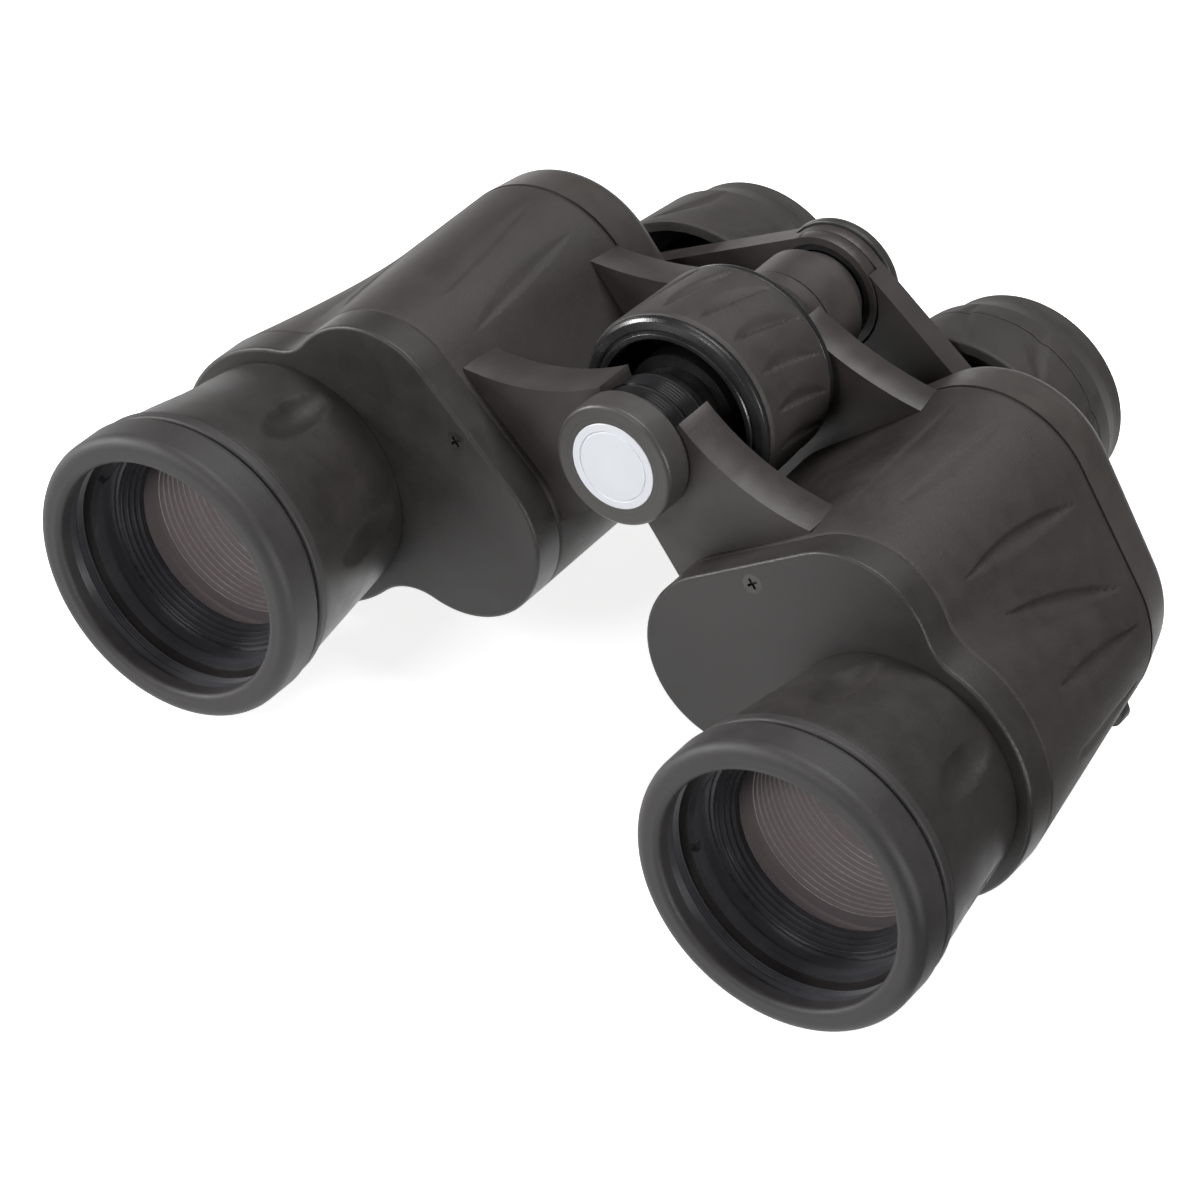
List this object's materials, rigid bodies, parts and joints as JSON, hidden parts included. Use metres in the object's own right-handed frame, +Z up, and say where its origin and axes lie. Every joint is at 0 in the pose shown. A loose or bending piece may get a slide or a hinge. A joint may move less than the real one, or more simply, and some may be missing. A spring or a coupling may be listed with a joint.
{
  "type": "binoculars",
  "caption": "Folding Porro-prism binoculars with rubber-armoured barrels, a central focus wheel on the hinge, a sliding ocular bridge, soft eyecups and a dioptre ring.",
  "frame": {"origin": "on the surface that the objective rims stand on, between the barrels and midway along the length", "axes": "+X towards the right barrel, +Y along the optical axes towards the eyepieces, +Z up towards the hinge"},
  "size_m": [0.1834, 0.144, 0.0799],
  "materials": {
    "armour_rubber": "matt dark grey moulded rubber with a fine grain",
    "satin_black": "moulded, satin black",
    "cover_grey": "moulded, satin dark grey",
    "casting_paint": "satin dark grey paint",
    "rim_rubber": "soft black rubber",
    "eyecup_rubber": "soft black rubber",
    "grip_rubber": "matt black rubber",
    "wheel_plastic": "satin black plastic",
    "cap_plastic": "satin dark grey plastic",
    "badge_white": "plain white inlay",
    "eyepiece_black": "black anodised",
    "hinge_steel": "blackened steel",
    "coated_glass": "anti-reflection coated optical glass",
    "inner_glass": "clear optical glass",
    "retainer_black": "gloss black anodised thread",
    "shelf_alloy": "machined casting",
    "spring_steel": "spring strip",
    "screw_steel": "small zinc-plated screws",
    "lug_metal": "black enamel"
  },
  "bodies": {
    "left_barrel": {"left_cover_screws": "screw_steel", "left_crown_lens": "coated_glass", "left_flint_lens": "inner_glass", "left_front_cover": "satin_black", "left_front_prism": "inner_glass", "left_lens_retainer": "retainer_black", "left_light_baffle": "retainer_black", "left_objective_rim": "rim_rubber", "left_objective_tube": "satin_black", "left_prism_clips": "spring_steel", "left_prism_housing": "casting_paint", "left_prism_shelf": "shelf_alloy", "left_rear_cover": "cover_grey", "left_rear_prism": "inner_glass", "left_rubber_armour": "armour_rubber", "left_strap_lug": "lug_metal", "hinge_tube": "hinge_steel", "guide_sleeve": "casting_paint", "hinge_washers": "hinge_steel"},
    "right_barrel": {"right_cover_screws": "screw_steel", "right_crown_lens": "coated_glass", "right_flint_lens": "inner_glass", "right_front_cover": "satin_black", "right_front_prism": "inner_glass", "right_lens_retainer": "retainer_black", "right_light_baffle": "retainer_black", "right_objective_rim": "rim_rubber", "right_objective_tube": "satin_black", "right_prism_clips": "spring_steel", "right_prism_housing": "casting_paint", "right_prism_shelf": "shelf_alloy", "right_rear_cover": "cover_grey", "right_rear_prism": "inner_glass", "right_rubber_armour": "armour_rubber", "right_strap_lug": "lug_metal"},
    "hinge_cap": {"hinge_cap": "cap_plastic", "cap_badge": "badge_white"},
    "focus_wheel": {"focus_wheel": "wheel_plastic", "wheel_grip": "grip_rubber"},
    "focus_bridge": {"focus_shaft": "hinge_steel", "drive_pin": "hinge_steel", "bridge_hub": "casting_paint", "bridge_cap": "cap_plastic", "left_ocular_arm": "casting_paint", "left_eyepiece_barrel": "eyepiece_black", "left_field_lens": "inner_glass", "left_eye_lens": "coated_glass", "left_eyecup": "eyecup_rubber"},
    "right_ocular": {"right_ocular_arm": "casting_paint", "right_eyepiece_guide": "eyepiece_black"},
    "right_eyepiece": {"right_eyepiece_barrel": "eyepiece_black", "right_field_lens": "inner_glass", "right_eye_lens": "coated_glass", "right_eyecup": "eyecup_rubber"},
    "dioptre_ring": {"dioptre_ring": "wheel_plastic"}
  },
  "joints": [
    {"name": "interpupillary_hinge", "type": "hinge", "parent": "left_barrel", "child": "right_barrel", "pos_m": [0, 0, 0.0606], "axis": [0, 1, 0], "range_deg": [-38, 4]},
    {"name": "focus_slide", "type": "slide", "parent": "left_barrel", "child": "focus_bridge", "axis": [0, 1, 0], "range_m": [-0.003, 0.006]},
    {"name": "right_ocular_slide", "type": "slide", "parent": "right_barrel", "child": "right_ocular", "axis": [0, 1, 0], "range_m": [-0.0031, 0.0061]},
    {"name": "focus_wheel_turn", "type": "hinge", "parent": "left_barrel", "child": "focus_wheel", "pos_m": [0, 0, 0.0606], "axis": [0, 1, 0], "range_deg": [-181, 361]},
    {"name": "dioptre_slide", "type": "slide", "parent": "right_ocular", "child": "right_eyepiece", "axis": [0, 1, 0], "range_m": [-0.0015, 0.0015]},
    {"name": "dioptre_turn", "type": "hinge", "parent": "right_eyepiece", "child": "dioptre_ring", "pos_m": [0.029, 0, 0.0346], "axis": [0, 1, 0], "range_deg": [-73, 73]},
    {"name": "tripod_cap_off", "type": "slide", "parent": "left_barrel", "child": "hinge_cap", "axis": [0, -1, 0], "range_m": [0, 0.006]}
  ],
  "couplings": [
    {"joint": "right_ocular_slide", "follows": "focus_slide", "ratio": 1},
    {"joint": "focus_wheel_turn", "follows": "focus_slide", "rad_per_m": 1047.2},
    {"joint": "dioptre_turn", "follows": "dioptre_slide", "rad_per_m": 837.76}
  ]
}
